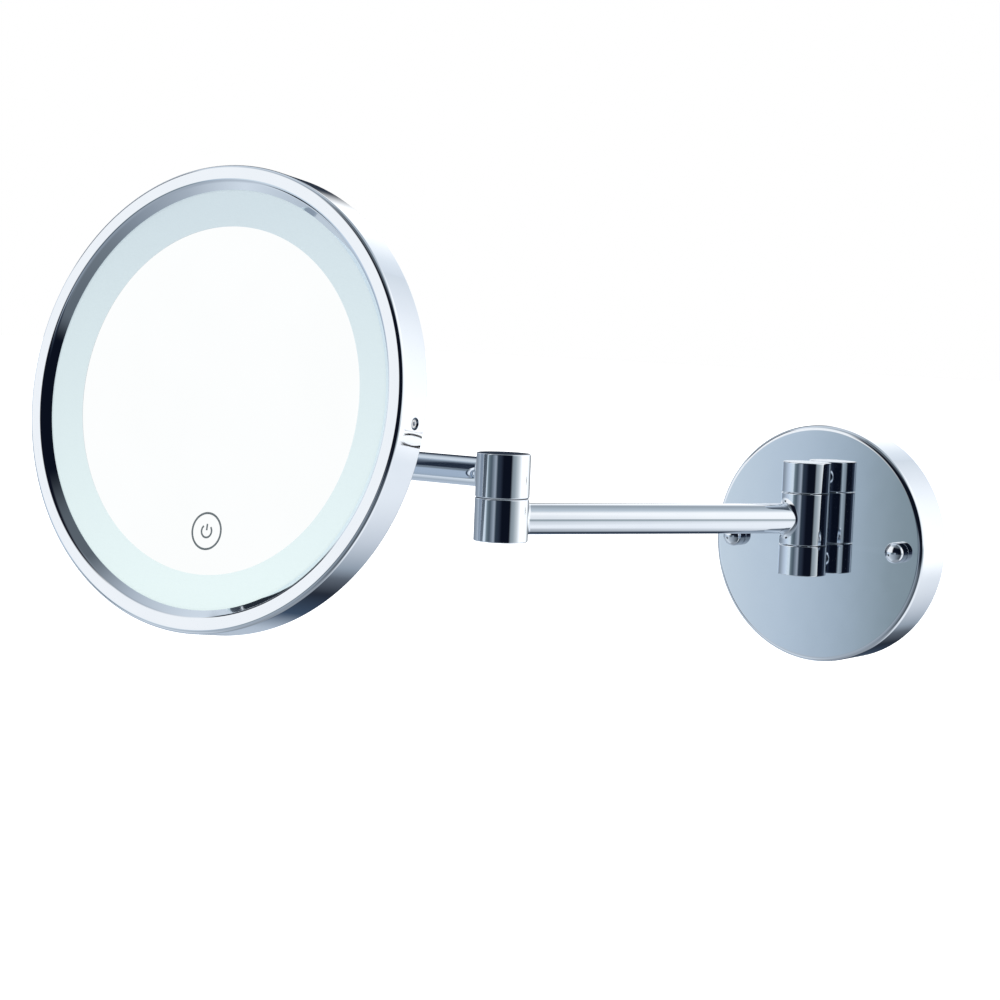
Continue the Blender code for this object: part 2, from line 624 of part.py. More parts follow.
def side_spots():
    """Where the four side screws cross the outside of the head's ring."""
    height = BALL_BEHIND_FRONT - SIDE_SCREW_DEPTH
    angles = [math.radians(SIDE_SCREW_START + 90 * turn) for turn in range(4)]
    return [(HEAD_RADIUS * math.cos(a), HEAD_RADIUS * math.sin(a), height) for a in angles]


def build_head_ring(head):
    """Chrome ring: outer wall, narrow face, and the sloping throat that leads in to the glass."""
    r, t = HEAD_RADIUS, HEAD_SKIN
    outer = [(radius, -height) for radius, height in
             arc((r - FACE_EDGE, -FACE_EDGE), FACE_EDGE, 0, 90, 4)]
    run = LIP_RADIUS - THROAT_RADIUS
    slope = math.degrees(math.atan2(LIP_DEPTH, run))
    start = LIP_RADIUS + LIP_ROUND * math.tan(math.radians(slope / 2))
    lip = [(radius, -height) for radius, height in
           arc((start, -LIP_ROUND), LIP_ROUND, 90, 90 + slope, 3)] + [(THROAT_RADIUS, LIP_DEPTH)]
    under = THROAT_RADIUS + t / math.sin(math.radians(slope))
    inside = [(under, LIP_DEPTH), (under + run * (LIP_DEPTH - t) / LIP_DEPTH, t),
              (r - t, t), (r - t, HEAD_DEPTH)]
    case = turned("head_ring", behind([(r, HEAD_DEPTH)] + outer + lip + inside), CHROME, head, FINE)
    for number, (x, y, z) in enumerate(side_spots(), 1):
        drill(case, f"side_hole_{number}", (x * 0.96, y * 0.96, z), (x * 1.04, y * 1.04, z),
              SIDE_SCREW_RADIUS + 0.0008, SMALL)


def build_side_screws(head):
    """Sunk screws that hold the rear cover's rim inside the ring."""
    for number, (x, y, z) in enumerate(side_spots(), 1):
        screw = rod_between(f"side_screw_{number}", head, (x * 0.973, y * 0.973, z),
                            (x * 0.995, y * 0.995, z), SIDE_SCREW_RADIUS, SMALL)
        paint(screw, STEEL)


def build_glass(head):
    """Hollowed mirror glass with a raised rim, and the rubber band round its edge."""
    dish, rim = GLASS_DISH_RADII
    front, rise = GLASS_RIM_FRONT, GLASS_DISH_FRONT - GLASS_RIM_FRONT
    hollow = [(dish * step / 6, GLASS_CENTRE_FRONT - (GLASS_CENTRE_FRONT - GLASS_DISH_FRONT)
               * (step / 6) ** 2) for step in range(7)]
    section = hollow + [(rim, front), (GLASS_RADIUS - GLASS_EDGE, front),
                        (GLASS_RADIUS, front + GLASS_EDGE), (GLASS_RADIUS, GLASS_BACK - rise),
                        (rim, GLASS_BACK - rise), (dish, GLASS_BACK), (0, GLASS_BACK)]
    turned("mirror_glass", behind(section), MIRROR, head, FINE)
    inner = GLASS_RADIUS + GAP
    seal = head_ring_section(inner, inner + SEAL_THICKNESS, front + GLASS_EDGE / 2,
                             GLASS_BACK - rise)
    turned("glass_seal", seal, RUBBER, head, FINE)


def build_lamp(head):
    """Opal ring, ring of lamps and the plate that holds them behind the glass."""
    front = GLASS_BACK + GAP
    opal = head_ring_section(*LIGHT_BAND, front, front + DIFFUSER_THICKNESS)
    turned("light_diffuser", opal, OPAL, head, MEDIUM)
    build_led_board(head)
    plate = head_ring_section(SOCKET_FLANGE + 0.0010, LIGHT_BAND[1], *PLATE_DEPTH)
    turned("backing_plate", plate, ZINC, head, MEDIUM)


def build_led_board(head):
    """Ring-shaped board; a low raised lamp stands on every third facet."""
    top = BALL_BEHIND_FRONT - LED_BOARD_DEPTH
    name = "led_board"
    mesh = turned_mesh(name, ring(*LED_BAND, top - LED_BOARD_THICKNESS, top), LED_FACETS)
    bm = bmesh.new()
    bm.from_mesh(mesh)
    upper = [face for face in bm.faces if face.normal.z > 0.9]
    upper.sort(key=lambda face: math.atan2(face.calc_center_median().y, face.calc_center_median().x))
    bmesh.ops.inset_individual(bm, faces=upper[::3], thickness=0.0024, depth=LED_RISE)
    board = place(name, mesh_from(name, bm), head)
    bpy.data.meshes.remove(mesh)
    paint(board, BOARD)


def build_touch_switch(head):
    """Touch sensor board stuck to the back of the glass, and the wire that feeds the lamps."""
    top = BALL_BEHIND_FRONT - GLASS_BACK - GAP
    left, right = TOUCH_BOARD_SPAN
    block("touch_board", (left, -TOUCH_RADIUS - TOUCH_BOARD_HALF, top - TOUCH_BOARD_THICKNESS),
          (right, -TOUCH_RADIUS + TOUCH_BOARD_HALF, top), GAP, GREEN_BOARD, head)
    height = BALL_BEHIND_FRONT - HEAD_WIRE_DEPTH
    wire("head_wire", [(0, 0, HEAD_WIRE_START), (0, 0, height),
                       (0.005 - LED_BAND[0], 0, height)], head)


def build():
    clear_scene()
    hinge = frame_at("wall_hinge_axis", None, (0, -BARREL_OUT, 0))
    shoulder = frame_at("arm_one_axis", None, (0, -BARREL_OUT, 0), (0, 0, ARM_ONE_ANGLE))
    elbow = frame_at("arm_two_axis", shoulder, (ARM_ONE_LENGTH, 0, 0), (0, 0, ELBOW_ANGLE))
    ball = (ARM_TWO_LENGTH, BALL_REACH, BALL_Z)
    swivel = frame_at("ball_swivel_axis", elbow, ball, (90, 0, HEAD_TURN))
    head = frame_at("head_tilt_axis", elbow, ball, (90 - HEAD_TILT, 0, HEAD_TURN))
    build_bracket()
    build_cup()
    build_studs()
    build_cap_nuts()
    build_ears(hinge)
    build_ear_fixings(hinge)
    build_wall_washers(hinge)
    build_wiring()
    build_arm_one(shoulder)
    build_arm_two(elbow)
    build_ball_stud(elbow)
    build_ball_liner(swivel)
    build_socket(head)
    build_socket_screws(head)
    build_rear_cover(head)
    build_head_ring(head)
    build_side_screws(head)
    build_glass(head)
    build_lamp(head)
    build_touch_switch(head)


build()
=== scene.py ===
"""Looks for the wall-hung shaving mirror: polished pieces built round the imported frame.

Lengths are in metres and angles in degrees. The frame gives every piece its place and size.
"""

import json
import math

import bmesh
import bpy
from mathutils import Matrix, Vector

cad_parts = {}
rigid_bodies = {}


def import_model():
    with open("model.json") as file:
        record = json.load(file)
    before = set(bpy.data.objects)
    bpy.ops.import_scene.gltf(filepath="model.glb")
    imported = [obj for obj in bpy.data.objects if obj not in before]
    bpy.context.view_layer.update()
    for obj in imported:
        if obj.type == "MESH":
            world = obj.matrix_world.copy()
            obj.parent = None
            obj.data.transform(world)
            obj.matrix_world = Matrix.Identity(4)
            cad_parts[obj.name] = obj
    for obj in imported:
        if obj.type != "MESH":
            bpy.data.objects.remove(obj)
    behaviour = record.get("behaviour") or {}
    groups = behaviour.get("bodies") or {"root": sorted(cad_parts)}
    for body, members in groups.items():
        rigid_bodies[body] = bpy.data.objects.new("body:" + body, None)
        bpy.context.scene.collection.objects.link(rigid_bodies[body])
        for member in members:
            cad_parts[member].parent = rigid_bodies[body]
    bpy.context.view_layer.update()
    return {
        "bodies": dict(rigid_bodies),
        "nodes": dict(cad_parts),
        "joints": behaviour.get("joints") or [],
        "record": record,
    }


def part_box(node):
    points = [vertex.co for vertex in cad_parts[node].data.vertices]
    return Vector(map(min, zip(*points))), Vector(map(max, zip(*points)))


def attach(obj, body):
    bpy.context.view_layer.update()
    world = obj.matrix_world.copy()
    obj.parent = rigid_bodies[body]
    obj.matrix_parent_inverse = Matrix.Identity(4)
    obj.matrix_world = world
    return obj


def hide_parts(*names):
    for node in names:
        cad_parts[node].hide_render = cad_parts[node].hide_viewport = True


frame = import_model()

ORIGIN = Vector((0, 0, 0))
UP = Vector((0, 0, 1))
BACK = Vector((0, 1, 0))
JOINTS = {joint["name"]: joint for joint in frame["joints"]}
WALL = Vector(JOINTS["wall_swing"]["pos_m"])
ELBOW = Vector(JOINTS["elbow_swing"]["pos_m"])
BALL = Vector(JOINTS["head_pan"]["pos_m"])
HEAD_LEAN = math.radians(7.3)

# Facets round a full turn.
VERY_FINE = 256
FINE = 128
MEDIUM = 72
SMALL = 40

# Roundings of the polished edges, and of the edges that are only broken.
BARREL_EDGE = 0.00045
CUP_EDGE = 0.0026
FACE_EDGE = 0.0021
BROKEN_EDGE = 0.0004

# Sheet of the cup, the head ring and the rear cover, and wall of the arm tubes.
CUP_SKIN = 0.0015
HEAD_SKIN = 0.0016
TUBE_WALL = 0.0012

# Bores of the hinges and holes of the fixings, as radii.
BARREL_BORE = 0.0063
STUD_HOLE = 0.0023
WIRE_HOLE = 0.0024

# Sharper corners than this stay sharp in a round piece.
SHARP_CORNER = math.radians(28)

# A polished piece further off than this doesn't show in another one's polish.
FAR_REFLECTION = 0.12


# Places read from the frame.


def corners(node):
    return [vertex.co for vertex in frame["nodes"][node].data.vertices]


def span(node, origin, axis):
    """Lowest and highest place of a CAD node along an axis."""
    places = [(corner - origin).dot(axis) for corner in corners(node)]
    return min(places), max(places)


def girth(node, origin, axis):
    """Smallest and largest distance of a CAD node's corners from an axis."""
    away = [(corner - origin).cross(axis).length for corner in corners(node)]
    return min(away), max(away)


def middle(node):
    """Middle of a CAD node's box."""
    low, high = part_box(node)
    return (low + high) / 2


def turned_to(origin, axis, across=None):
    """Matrix that puts local Z along an axis, and local X along another when one is given."""
    z = axis.normalized()
    x = (across or z.orthogonal()).normalized()
    y = z.cross(x).normalized()
    x = y.cross(z)
    turn = Matrix((x, y, z)).transposed().to_4x4()
    return Matrix.Translation(origin) @ turn


def flat(vector):
    """The level direction of a vector."""
    return Vector((vector.x, vector.y, 0)).normalized()


WRIST = Vector((*middle("wrist_post").xy, 0))
ARM_ONE = flat(ELBOW - WALL)
ARM_TWO = flat(WRIST - ELBOW)
TILT_AXIS = Vector(JOINTS["head_tilt"]["axis"]).normalized()
HEAD_NORMAL = TILT_AXIS.cross(UP) * math.cos(HEAD_LEAN) + UP * math.sin(HEAD_LEAN)
HEAD = turned_to(BALL, HEAD_NORMAL, TILT_AXIS)


# Mesh making.


def rounded(points):
    """Outline of (radius, height, rounding) corners, with an arc where there is a rounding."""
    outline = []
    for index, (radius, height, rounding) in enumerate(points):
        here = Vector((radius, height))
        if not rounding:
            outline.append(here)
            continue
        before = (Vector(points[index - 1][:2]) - here).normalized()
        after = (Vector(points[(index + 1) % len(points)][:2]) - here).normalized()
        half = before.angle(after) / 2
        centre = here + (before + after).normalized() * (rounding / math.sin(half))
        start = here + before * (rounding / math.tan(half)) - centre
        sweep = math.pi - 2 * half
        if start.x * (here - centre).y - start.y * (here - centre).x < 0:
            sweep = -sweep
        steps = max(3, round(abs(math.degrees(sweep)) / 9))
        for step in range(steps + 1):
            outline.append(centre + Matrix.Rotation(sweep * step / steps, 2) @ start)
    return outline


def finish_mesh(name, bm, at=None):
    """Object in the row frame from a bmesh; its flats stay flat and its round sides are smooth."""
    if at:
        bm.transform(at)
    bmesh.ops.recalc_face_normals(bm, faces=bm.faces)
    mesh = bpy.data.meshes.new(name)
    bm.to_mesh(mesh)
    bm.free()
    mesh.shade_smooth()
    mesh.set_sharp_from_angle(angle=SHARP_CORNER)
    obj = bpy.data.objects.new(name, mesh)
    bpy.context.scene.collection.objects.link(obj)
    return obj


def lathe(name, points, at, segments=FINE):
    """Turns an outline round local Z. One that starts on the axis must end on it."""
    outline = rounded(points)
    bm = bmesh.new()
    rings = []
    for radius, height in outline:
        if radius < 1e-7:
            rings.append([bm.verts.new((0, 0, height))] * segments)
            continue
        ring = []
        for step in range(segments):
            turn = math.tau * step / segments
            ring.append(bm.verts.new((radius * math.cos(turn), radius * math.sin(turn), height)))
        rings.append(ring)
    on_axis = points[0][0] < 1e-7
    for index, ring in enumerate(rings):
        if on_axis and index == len(rings) - 1:
            break
        other = rings[(index + 1) % len(rings)]
        for step in range(segments):
            ahead = (step + 1) % segments
            loop = [ring[step], ring[ahead], other[ahead], other[step]]
            bm.faces.new(list(dict.fromkeys(loop)))
    return finish_mesh(name, bm, at)


def rod(name, start, end, radius, segments=MEDIUM, edge=0.0):
    """Solid round rod between two points."""
    run = Vector(end) - Vector(start)
    points = [(0, 0, 0), (radius, 0, edge), (radius, run.length, edge), (0, run.length, 0)]
    return lathe(name, points, turned_to(Vector(start), run), segments)


def cut(target, tool, operation="DIFFERENCE"):
    """Applies a Boolean with a tool that is then thrown away."""
    modifier = target.modifiers.new("cut", "BOOLEAN")
    modifier.operation = operation
    modifier.object = tool
    apply_modifiers(target)
    bpy.data.objects.remove(tool, do_unlink=True)
    target.data.set_sharp_from_angle(angle=SHARP_CORNER)


def apply_modifiers(obj):
    """Makes the object's mesh what its modifiers made of it."""
    bpy.context.view_layer.update()
    evaluated = obj.evaluated_get(bpy.context.evaluated_depsgraph_get())
    mesh = bpy.data.meshes.new_from_object(evaluated)
    obj.modifiers.clear()
    obj.data = mesh


def drilled(target, start, end, radius, segments):
    """Drills a round hole from one point to another."""
    cut(target, rod("drill", start, end, radius, segments))


def piece(obj, body, slot, material, *nodes):
    """Gives a finished object its material and its body, and hides the CAD nodes that it stands
    for.
    """
    weights = obj.modifiers.new("even_flats", "WEIGHTED_NORMAL")
    weights.keep_sharp = True
    if material:
        obj.data.materials.clear()
        obj.data.materials.append(material)
    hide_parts(*nodes)
    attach(obj, body)
    return obj


# Materials.


def math_node(tree, operation, first, second):
    """Output of a Math node whose first two inputs are each a number or another output."""
    node = tree.nodes.new("ShaderNodeMath")
    node.operation = operation
    for socket, value in zip(node.inputs, (first, second)):
        if isinstance(value, (int, float)):
            socket.default_value = value
        else:
            tree.links.new(value, socket)
    return node.outputs["Value"]


def new_material(name):
    """Empty Principled material, with its shader, its nodes and its links."""
    material = bpy.data.materials.new(name)
    material.use_nodes = True
    return material, material.node_tree.nodes["Principled BSDF"], material.node_tree


def object_point(tree):
    """The shaded point in the object's own coordinates."""
    return tree.nodes.new("ShaderNodeTexCoord").outputs["Object"]


def noise(tree, scale, detail=2.0, stretch=(1, 1, 1)):
    """Noise over the object's own coordinates; scale is in features a metre."""
    mapping = tree.nodes.new("ShaderNodeMapping")
    mapping.inputs["Scale"].default_value = stretch
    tree.links.new(object_point(tree), mapping.inputs["Vector"])
    texture = tree.nodes.new("ShaderNodeTexNoise")
    texture.inputs["Scale"].default_value = scale
    texture.inputs["Detail"].default_value = detail
    tree.links.new(mapping.outputs["Vector"], texture.inputs["Vector"])
    return texture.outputs["Fac"]


def remap(tree, value, low, high, start=0.3, end=0.7):
    """Scales a value, taken from start to end, to run from low to high."""
    node = tree.nodes.new("ShaderNodeMapRange")
    node.inputs["From Min"].default_value = start
    node.inputs["From Max"].default_value = end
    node.inputs["To Min"].default_value = low
    node.inputs["To Max"].default_value = high
    tree.links.new(value, node.inputs["Value"])
    return node.outputs["Result"]


def two_colours(tree, value, first, second, start=0.35, end=0.65):
    """Fades from the first colour to the second as a value goes from start to end."""
    node = tree.nodes.new("ShaderNodeValToRGB")
    node.color_ramp.elements[0].position = start
    node.color_ramp.elements[0].color = (*first, 1)
    node.color_ramp.elements[1].position = end
    node.color_ramp.elements[1].color = (*second, 1)
    tree.links.new(value, node.inputs["Fac"])
    return node.outputs["Color"]


def bump(tree, shader, height, depth):
    """Relief of a shader's surface, depth metres from its lowest to its highest."""
    node = tree.nodes.new("ShaderNodeBump")
    node.inputs["Strength"].default_value = 1.0
    node.inputs["Distance"].default_value = depth
    tree.links.new(height, node.inputs["Height"])
    tree.links.new(node.outputs["Normal"], shader.inputs["Normal"])


def mixed_shader(tree, factor, first, second):
    """The first shader where the factor is 0 and the second where it is 1."""
    node = tree.nodes.new("ShaderNodeMixShader")
    for socket, output in zip(node.inputs, (factor, first, second)):
        tree.links.new(output, socket)
    return node.outputs["Shader"]


def let_far_reflections_by(tree, shader):
    """Lets a reflection that has come further than FAR_REFLECTION pass through the surface."""
    path = tree.nodes.new("ShaderNodeLightPath")
    solid = shader.outputs["BSDF"]
    clear = tree.nodes.new("ShaderNodeBsdfTransparent").outputs["BSDF"]
    is_far = math_node(tree, "GREATER_THAN", path.outputs["Ray Length"], FAR_REFLECTION)
    reflected = mixed_shader(tree, is_far, solid, clear)
    surface = mixed_shader(tree, path.outputs["Is Glossy Ray"], solid, reflected)
    tree.links.new(surface, tree.nodes["Material Output"].inputs["Surface"])


def make_chrome():
    """Bright chrome plate: blue-white, with faint smears and a barely uneven polish."""
    material, shader, tree = new_material("polished_chrome")
    shader.inputs["Metallic"].default_value = 1.0
    tint = two_colours(tree, noise(tree, 45, 3), (0.835, 0.880, 0.935), (0.850, 0.893, 0.945))
    tree.links.new(tint, shader.inputs["Base Color"])
    smears = remap(tree, noise(tree, 70, 4, (1, 1, 2.5)), 0.015, 0.055)
    tree.links.new(smears, shader.inputs["Roughness"])
    bump(tree, shader, noise(tree, 60, 1), 0.000012)
    let_far_reflections_by(tree, shader)
    return material


def make_mirror():
    """Silvered glass: clean and almost neutral, with a trace of dust."""
    material, shader, tree = new_material("silvered_glass")
    shader.inputs["Metallic"].default_value = 1.0
    tint = two_colours(tree, noise(tree, 20, 2), (0.965, 0.980, 0.980), (0.975, 0.988, 0.990))
    tree.links.new(tint, shader.inputs["Base Color"])
    dust = remap(tree, noise(tree, 900, 3), 0.0, 0.03, 0.62, 0.85)
    tree.links.new(dust, shader.inputs["Roughness"])
    let_far_reflections_by(tree, shader)
    return material


def make_frosted():
    """Etched glass lit from behind: a fine grain, and a little more light towards the bottom."""
    material, shader, tree = new_material("frosted_glass")
    shader.inputs["Roughness"].default_value = 0.42
    grain = noise(tree, 5200, 2)
    tint = two_colours(tree, grain, (0.16, 0.19, 0.20), (0.19, 0.22, 0.23))
    tree.links.new(tint, shader.inputs["Base Color"])
    height = tree.nodes.new("ShaderNodeSeparateXYZ")
    tree.links.new(object_point(tree), height.inputs["Vector"])
    glow = two_colours(tree, remap(tree, height.outputs["Z"], 0, 1, -0.03, 0.155),
                       (0.60, 0.69, 0.68), (0.43, 0.50, 0.54), 0.0, 1.0)
    tree.links.new(glow, shader.inputs["Emission Color"])
    shader.inputs["Emission Strength"].default_value = 1.0
    bump(tree, shader, grain, 0.00001)
    let_far_reflections_by(tree, shader)
    return material


def make_mark():
    """Grey etched line of the touch ring and its power sign."""
    material, shader, tree = new_material("etched_mark")
    tint = two_colours(tree, noise(tree, 2500, 2), (0.09, 0.115, 0.125), (0.14, 0.165, 0.175))
    tree.links.new(tint, shader.inputs["Base Color"])
    shader.inputs["Roughness"].default_value = 0.5
    return material


def make_steel():
    """Stainless steel of the screws, with fine turning marks."""
    material, shader, tree = new_material("screw_steel")
    shader.inputs["Metallic"].default_value = 1.0
    marks = noise(tree, 900, 3, (1, 1, 6))
    tree.links.new(two_colours(tree, marks, (0.50, 0.51, 0.53), (0.66, 0.67, 0.69)),
                   shader.inputs["Base Color"])
    tree.links.new(remap(tree, marks, 0.16, 0.34), shader.inputs["Roughness"])
    bump(tree, shader, marks, 0.00001)
    return material


def make_zinc():
    """Zinc plate: dull patches of crystal over rolled steel."""
    material, shader, tree = new_material("zinc_plate")
    shader.inputs["Metallic"].default_value = 1.0
    crystals = tree.nodes.new("ShaderNodeTexVoronoi")
    crystals.inputs["Scale"].default_value = 260
    tree.links.new(object_point(tree), crystals.inputs["Vector"])
    patches = crystals.outputs["Color"]
    tree.links.new(two_colours(tree, patches, (0.50, 0.52, 0.53), (0.68, 0.70, 0.70), 0.1, 0.9),
                   shader.inputs["Base Color"])
    tree.links.new(remap(tree, patches, 0.28, 0.48, 0, 1), shader.inputs["Roughness"])
    bump(tree, shader, noise(tree, 1400, 3), 0.00001)
    return material


def make_brass():
    """Turned brass, slightly dulled."""
    material, shader, tree = new_material("turned_brass")
    shader.inputs["Metallic"].default_value = 1.0
    marks = noise(tree, 800, 3, (1, 1, 5))
    tree.links.new(two_colours(tree, marks, (0.62, 0.43, 0.16), (0.78, 0.58, 0.26)),
                   shader.inputs["Base Color"])
    tree.links.new(remap(tree, marks, 0.22, 0.40), shader.inputs["Roughness"])
    bump(tree, shader, marks, 0.00001)
    return material


def make_plastic(name, first, second, roughness, grain=1800, depth=0.00002):
    """Moulded plastic with a fine grain and slow changes of tone."""
    material, shader, tree = new_material(name)
    tone = noise(tree, 60, 3)
    tree.links.new(two_colours(tree, tone, first, second), shader.inputs["Base Color"])
    tree.links.new(remap(tree, tone, roughness - 0.06, roughness + 0.06),
                   shader.inputs["Roughness"])
    bump(tree, shader, noise(tree, grain, 2), depth)
    return material


CHROME = make_chrome()
MIRROR = make_mirror()
FROSTED = make_frosted()
MARK = make_mark()
STEEL = make_steel()
ZINC = make_zinc()
BRASS = make_brass()
NYLON = make_plastic("natural_nylon", (0.78, 0.77, 0.71), (0.86, 0.85, 0.79), 0.45)
WHITE_CASE = make_plastic("white_case", (0.78, 0.78, 0.77), (0.84, 0.84, 0.83), 0.40)
OPAL = make_plastic("opal_acrylic", (0.84, 0.88, 0.89), (0.90, 0.93, 0.93), 0.35)
WHITE_BOARD = make_plastic("white_board", (0.78, 0.80, 0.78), (0.86, 0.87, 0.85), 0.45)
GREEN_BOARD = make_plastic("green_board", (0.03, 0.14, 0.07), (0.05, 0.20, 0.10), 0.38)
RUBBER = make_plastic("black_rubber", (0.020, 0.020, 0.021), (0.035, 0.035, 0.036), 0.75,
                      900, 0.00004)
SHEATH = make_plastic("wire_sheath", (0.03, 0.03, 0.032), (0.05, 0.05, 0.053), 0.50, 900)
KEPT_FINISHES = {
    "screw_steel": STEEL,
    "zinc_plate": ZINC,
    "brass": BRASS,
    "nylon": NYLON,
    "white_plastic": WHITE_CASE,
    "opal": OPAL,
    "white_board": WHITE_BOARD,
    "green_board": GREEN_BOARD,
    "rubber": RUBBER,
    "wire_sheath": SHEATH,
    "chrome": CHROME,
    "mirror_glass": MIRROR,
}


# Wall side.


def make_cup():
    """Wall cup, with a rounded rim, holes for its fixings and an open back."""
    radius = girth("canopy", ORIGIN, BACK)[1]
    depth = span("canopy", ORIGIN, -BACK)[1]
    inside_radius, inside_depth = radius - CUP_SKIN, depth - CUP_SKIN
    points = [(0, depth, 0), (radius, depth, CUP_EDGE), (radius, 0, BROKEN_EDGE),
              (inside_radius, 0, BROKEN_EDGE), (inside_radius, inside_depth, CUP_EDGE - CUP_SKIN),
              (0, inside_depth, 0)]
    cup = lathe("wall_cup", points, turned_to(ORIGIN, -BACK), VERY_FINE)
    fixings = (("cap_nut_left", STUD_HOLE), ("cap_nut_right", STUD_HOLE),
               ("ear_screw", 0.0019), ("nipple_nut", 0.0053))
    for node, hole in fixings:
        spot = Vector((middle(node).x, -depth, middle(node).z))
        drilled(cup, spot + BACK * 0.004, spot - BACK * 0.004, hole, SMALL)
    piece(cup, "wall_mount", "chrome", CHROME, "canopy")


def make_cap_nut(side):
    """Domed cap nut, bored from below."""
    node = f"cap_nut_{side}"
    spot = Vector((middle(node).x, 0, 0))
    base, top = span(node, spot, -BACK)
    radius = girth(node, spot, -BACK)[1]
    dome, bore_top = 0.0036, base + 0.0052
    points = [(0, bore_top, 0), (STUD_HOLE, bore_top, 0), (STUD_HOLE, base, 0),
              (radius, base, BROKEN_EDGE)]
    steps = 12
    for step in range(steps + 1):
        angle = math.radians(90 * step / steps)
        points.append((radius * math.cos(angle), top - dome * (1 - math.sin(angle)), 0))
    nut = lathe(f"{node}_dome", points, turned_to(spot, -BACK), MEDIUM)
    piece(nut, "wall_mount", "chrome", CHROME, node)


def barrel_sides(radius, low, high):
    return [(radius, low, BARREL_EDGE), (radius, high, BARREL_EDGE)]


def join_neck(ear, start):
    """Joins the neck that holds a fixed barrel off the cup's face."""
    depth = span("canopy", ORIGIN, -BACK)[1]
    to_face = -WALL.y - depth - 0.00005
    cut(ear, rod("neck", start + BACK * 0.004, start + BACK * to_face, 0.0065), "UNION")


def make_ears():
    """Fixed barrels of the wall hinge, each with its neck and the spigot in the knuckle."""
    spigot, reach, gap = 0.0060, 0.0080, 0.0003
    at = turned_to(WALL, UP)
    radius = girth("wall_knuckle", WALL, UP)[1]
    low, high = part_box("lower_ear")[0].z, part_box("wall_knuckle")[0].z - gap
    points = [(0, low, 0), *barrel_sides(radius, low, high), (spigot, high, 0),
              (spigot, high + reach, 0), (0, high + reach, 0)]
    lower = lathe("lower_ear_barrel", points, at)
    join_neck(lower, WALL + UP * ((low + high) / 2))
    piece(lower, "wall_mount", "chrome", CHROME, "lower_ear")
    low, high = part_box("wall_knuckle")[1].z + gap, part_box("upper_ear")[1].z
    points = [(0, low - reach, 0), (spigot, low - reach, 0), (spigot, low, 0),
              *barrel_sides(radius, low, high), (0, high, 0)]
    upper = lathe("upper_ear_barrel", points, at)
    start = WALL + UP * ((low + high) / 2)
    join_neck(upper, start)
    cut(upper, rod("nipple", start + BACK * 0.006, start + BACK * 0.0189, 0.0050), "UNION")
    drilled(upper, start + BACK * 0.010, start + BACK * 0.030, WIRE_HOLE, SMALL)
    piece(upper, "wall_mount", "chrome", CHROME, "upper_ear")


# Arms.


def hollow_barrel(name, node, origin, floor=0.0, roof=0.0):
    """Barrel bored right through, or closed by a floor or a roof of the given height."""
    low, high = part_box(node)[0].z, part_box(node)[1].z
    sides = barrel_sides(girth(node, origin, UP)[1], low, high)
    bore = BARREL_BORE
    if floor:
        points = [(0, low, 0), *sides, (bore, high, 0), (bore, low + floor, 0), (0, low + floor, 0)]
    elif roof:
        points = [(0, high - roof, 0), (bore, high - roof, 0), (bore, low, 0), *sides, (0, high, 0)]
    else:
        points = [(bore, low, 0), *sides, (bore, high, 0)]
    return lathe(name, points, turned_to(Vector((*origin.xy, 0)), UP))


def seat_for_tube(barrel, origin, direction, node, depth=0.005):
    """Drills the side hole that a tube's end sits in."""
    clearance = 0.00003
    centre = Vector((*origin.xy, middle(node).z))
    radius = girth(node, centre, direction)[1] + clearance
    drilled(barrel, centre + direction * depth, centre + direction * 0.02, radius, FINE)


def saddle_section(centre, direction, out, radius, reach, size):
    """Points of a fillet's section: root on the barrel, tip on the tube, then one inside both."""
    ring = radius + size
    side = math.sqrt(1 - out.z ** 2)
    depth = math.sqrt(reach ** 2 - (ring * side) ** 2)
    rise = size * ring * side ** 2 / depth
    root = centre + out * ring + direction * depth
    corner = centre + out * radius + direction * (depth + rise)
    tip = corner + direction * size
    inner = centre + out * (radius - 0.0004) + direction * (depth - 0.0006)
    curve = [root * (1 - t) ** 2 + corner * 2 * t * (1 - t) + tip * t * t
             for t in (0, 0.12, 0.25, 0.38, 0.5, 0.62, 0.75, 0.88, 1)]
    return curve + [inner]


def saddle(name, body, origin, direction, node, barrel, high, wide):
    """Fillet where a tube meets a barrel: high is its size above and below, wide at the sides."""
    centre = Vector((*origin.xy, middle(node).z))
    radius = girth(node, centre, direction)[1]
    reach = girth(barrel, centre, UP)[1]
    across = UP.cross(direction)
    bm = bmesh.new()
    rows = []
    for step in range(MEDIUM):
        angle = math.tau * step / MEDIUM
        out = across * math.cos(angle) + UP * math.sin(angle)
        size = high * math.sin(angle) ** 2 + wide * math.cos(angle) ** 2
        section = saddle_section(centre, direction, out, radius, reach, size)
        rows.append([bm.verts.new(point) for point in section])
    for index, row in enumerate(rows):
        other = rows[(index + 1) % len(rows)]
        for step in range(len(row)):
            ahead = (step + 1) % len(row)
            bm.faces.new([row[step], other[step], other[ahead], row[ahead]])
    piece(finish_mesh(name, bm), body, "chrome", CHROME)


def make_tube(name, node, body, origin, direction):
    """Arm tube, open at both ends."""
    centre = Vector((*origin.xy, middle(node).z))
    radius = girth(node, centre, direction)[1]
    low, high = span(node, centre, direction)
    points = [(radius - TUBE_WALL, low, 0), (radius, low, 0), (radius, high, 0),
              (radius - TUBE_WALL, high, 0)]
    tube = lathe(name, points, turned_to(centre, direction))
    piece(tube, body, "chrome", CHROME, node)


